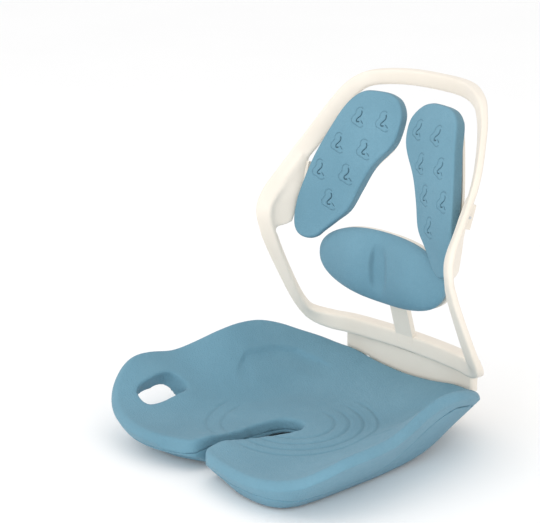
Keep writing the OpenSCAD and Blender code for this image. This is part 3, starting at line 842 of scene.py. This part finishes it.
wing_rim = closed_curve(WING_OUTLINE, 12)
for side, word in ((LEFT, "left"), (RIGHT, "right")):
    pad = pad_form(word + "_wing_foam", wing_rim, 1.1, 3.6, WING_T, 1.2, lambda u, v, d, s=side: wing_face(u, v, d, s),
                   lambda p, s=side: in_wing(p, s), np.array(MOTIFS))
    piece(pad, word + "_wing", FOAM, "foam", word + "_wing_pad")
    local = (coords(pad) * [side, 1, 1] - WING_AT) @ WING_TURN
    normal = np.empty(len(local) * 3)
    pad.data.vertices.foreach_get("normal", normal)
    # painted shade on the pad's side walls, which face away from the front, and in the pressed motifs on its front
    wall_shade = 1 - smooth(0.3, 0.85, np.abs((normal.reshape(-1, 3) * [side, 1, 1] @ WING_TURN)[:, 1]))
    mark_painted_shade(pad, np.maximum(motif_depth(local[:, 0], local[:, 2], side) * (local[:, 1] < 9), wall_shade * 0.75), 1.9)

LUMBAR_Z, LUMBAR_W, LUMBAR_H = 211.0, 117.0, 50.0


def lumbar_form():
    n, m = 420, 110
    a = np.radians(np.arange(n) * 360 / n)
    cx, cz = LUMBAR_W * power(np.cos(a), 0.86), (LUMBAR_H - 0.5) * power(np.sin(a), 0.9)
    rings = []
    for k in range(1, m + 1):
        r = math.sin(math.pi / 2 * k / m)
        x, z = cx * r, cz * r
        bulge = np.sqrt(np.maximum(0, 1 - r**2.6))
        rings.append(np.column_stack([x, lumbar_edge(x) - lumbar_depth(x, z) * bulge, LUMBAR_Z + z]))
    for k in range(1, 9):
        f = k / 8
        rings.append(np.column_stack([cx * (1 - 0.03 * f), lumbar_edge(cx) + 9 * f, LUMBAR_Z + cz * (1 - 0.06 * f)]))
    return outward_faces(ring_solid("lumbar_foam", rings))


def lumbar_edge(x):
    return 119 - 10 * (np.abs(x) / 117) ** 2.2


def lumbar_depth(x, z):
    broad = 2.5 * np.exp(-(x / 30) ** 2)
    edge = 16 - 4 * (z / 30) ** 2
    ramp = np.where(x < 0, 5.0, 10.0)
    channel = 4.6 * (1 - smooth(-ramp, 2.5, np.abs(x) - edge)) * (1 - smooth(12, 42, np.abs(z)))
    lobes = 4.0 * np.exp(-((np.abs(x) - 52) / 34) ** 2)
    return 15.5 + lobes - broad - channel


lumbar = lumbar_form()
piece(lumbar, "lumbar", FOAM, "foam", "lumbar_pad")
at = coords(lumbar) - [0, 0, LUMBAR_Z]
# painted shade along the left edge of the middle channel, a dark crescent where the surface steps down
crease_shade = np.exp(-((at[:, 0] + 15 - 4 * (at[:, 2] / 30) ** 2) / 2.6) ** 2) * (1 - smooth(12, 38, np.abs(at[:, 2])))
mark_painted_shade(lumbar, crease_shade * (at[:, 1] < 112), 2.0)

# ---------- the CAD pieces that stay ----------

for name, obj in nodes.items():
    if obj.hide_render:
        continue
    if not name.endswith(("screws", "pin", "bush", "bushes")):
        flat = obj.modifiers.new("flat", "DECIMATE")
        flat.decimate_type, flat.angle_limit = "DISSOLVE", math.radians(1)
        soft = obj.modifiers.new("soft", "BEVEL")
        soft.width, soft.segments, soft.limit_method = 1.2 * MM, 3, "ANGLE"
        soft.angle_limit = math.radians(40)
    if name.endswith("screws") or name.endswith("pin"):
        paint(obj, STEEL)
    elif "bush" in name or "feet" in name or "bumper" in name:
        paint(obj, RUBBER)
    else:
        paint(obj, IVORY)

# ---------- stage, light, camera ----------

floor = make("floor", [(-40000, -40000, 0), (40000, -40000, 0), (40000, 40000, 0), (-40000, 40000, 0)], [[0, 1, 2, 3]], False)
m = Nodes("pale_floor")
m.link(m.mix(m.noise(3, 2), (0.955, 0.955, 0.955, 1), (0.975, 0.975, 0.975, 1)), m.shader.inputs["Base Color"])
m.shader.inputs["Roughness"].default_value = 0.9
paint(floor, m.mat)

world = bpy.data.worlds.new("studio")
world.use_nodes = True
world.node_tree.nodes["Background"].inputs[0].default_value = (1, 1, 1, 1)
world.node_tree.nodes["Background"].inputs[1].default_value = 1.0
bpy.context.scene.world = world
bpy.context.scene.view_settings.view_transform = "Standard"


def lamp(name, place, aim, size, watts):
    data = bpy.data.lights.new(name, "AREA")
    data.size, data.energy = size, watts
    obj = bpy.data.objects.new(name, data)
    bpy.context.scene.collection.objects.link(obj)
    obj.location = place
    obj.rotation_mode = "QUATERNION"
    obj.rotation_quaternion = (Vector(aim) - Vector(place)).to_track_quat("-Z", "Y")


lamp("key", (-0.9, -1.6, 2.0), (0, 0, 0.2), 1.4, 4)
lamp("top", (0.1, 0.4, 2.2), (0, 0, 0.1), 1.6, 2.5)
lamp("front", (0.9, -2.7, 0.6), (0, 0, 0.05), 1.6, 22)
lamp("low", (1.5, -0.9, 0.22), (0.08, 0.16, 0.04), 0.6, 4)

cam = bpy.data.objects.new("camera", bpy.data.cameras.new("camera"))
bpy.context.scene.collection.objects.link(cam)
cam.data.lens, cam.data.sensor_width = 133.33, 36
az, el = math.radians(48.4), math.radians(16.95)
back = Vector((math.sin(az) * math.cos(el), -math.cos(az) * math.cos(el), math.sin(el)))
cam.location = (1.8020, -1.6870, 0.9964)
cam.rotation_mode = "QUATERNION"
cam.rotation_quaternion = (-back).to_track_quat("-Z", "Y")
cam.data.clip_start, cam.data.clip_end = 0.05, 200
bpy.context.scene.camera = cam
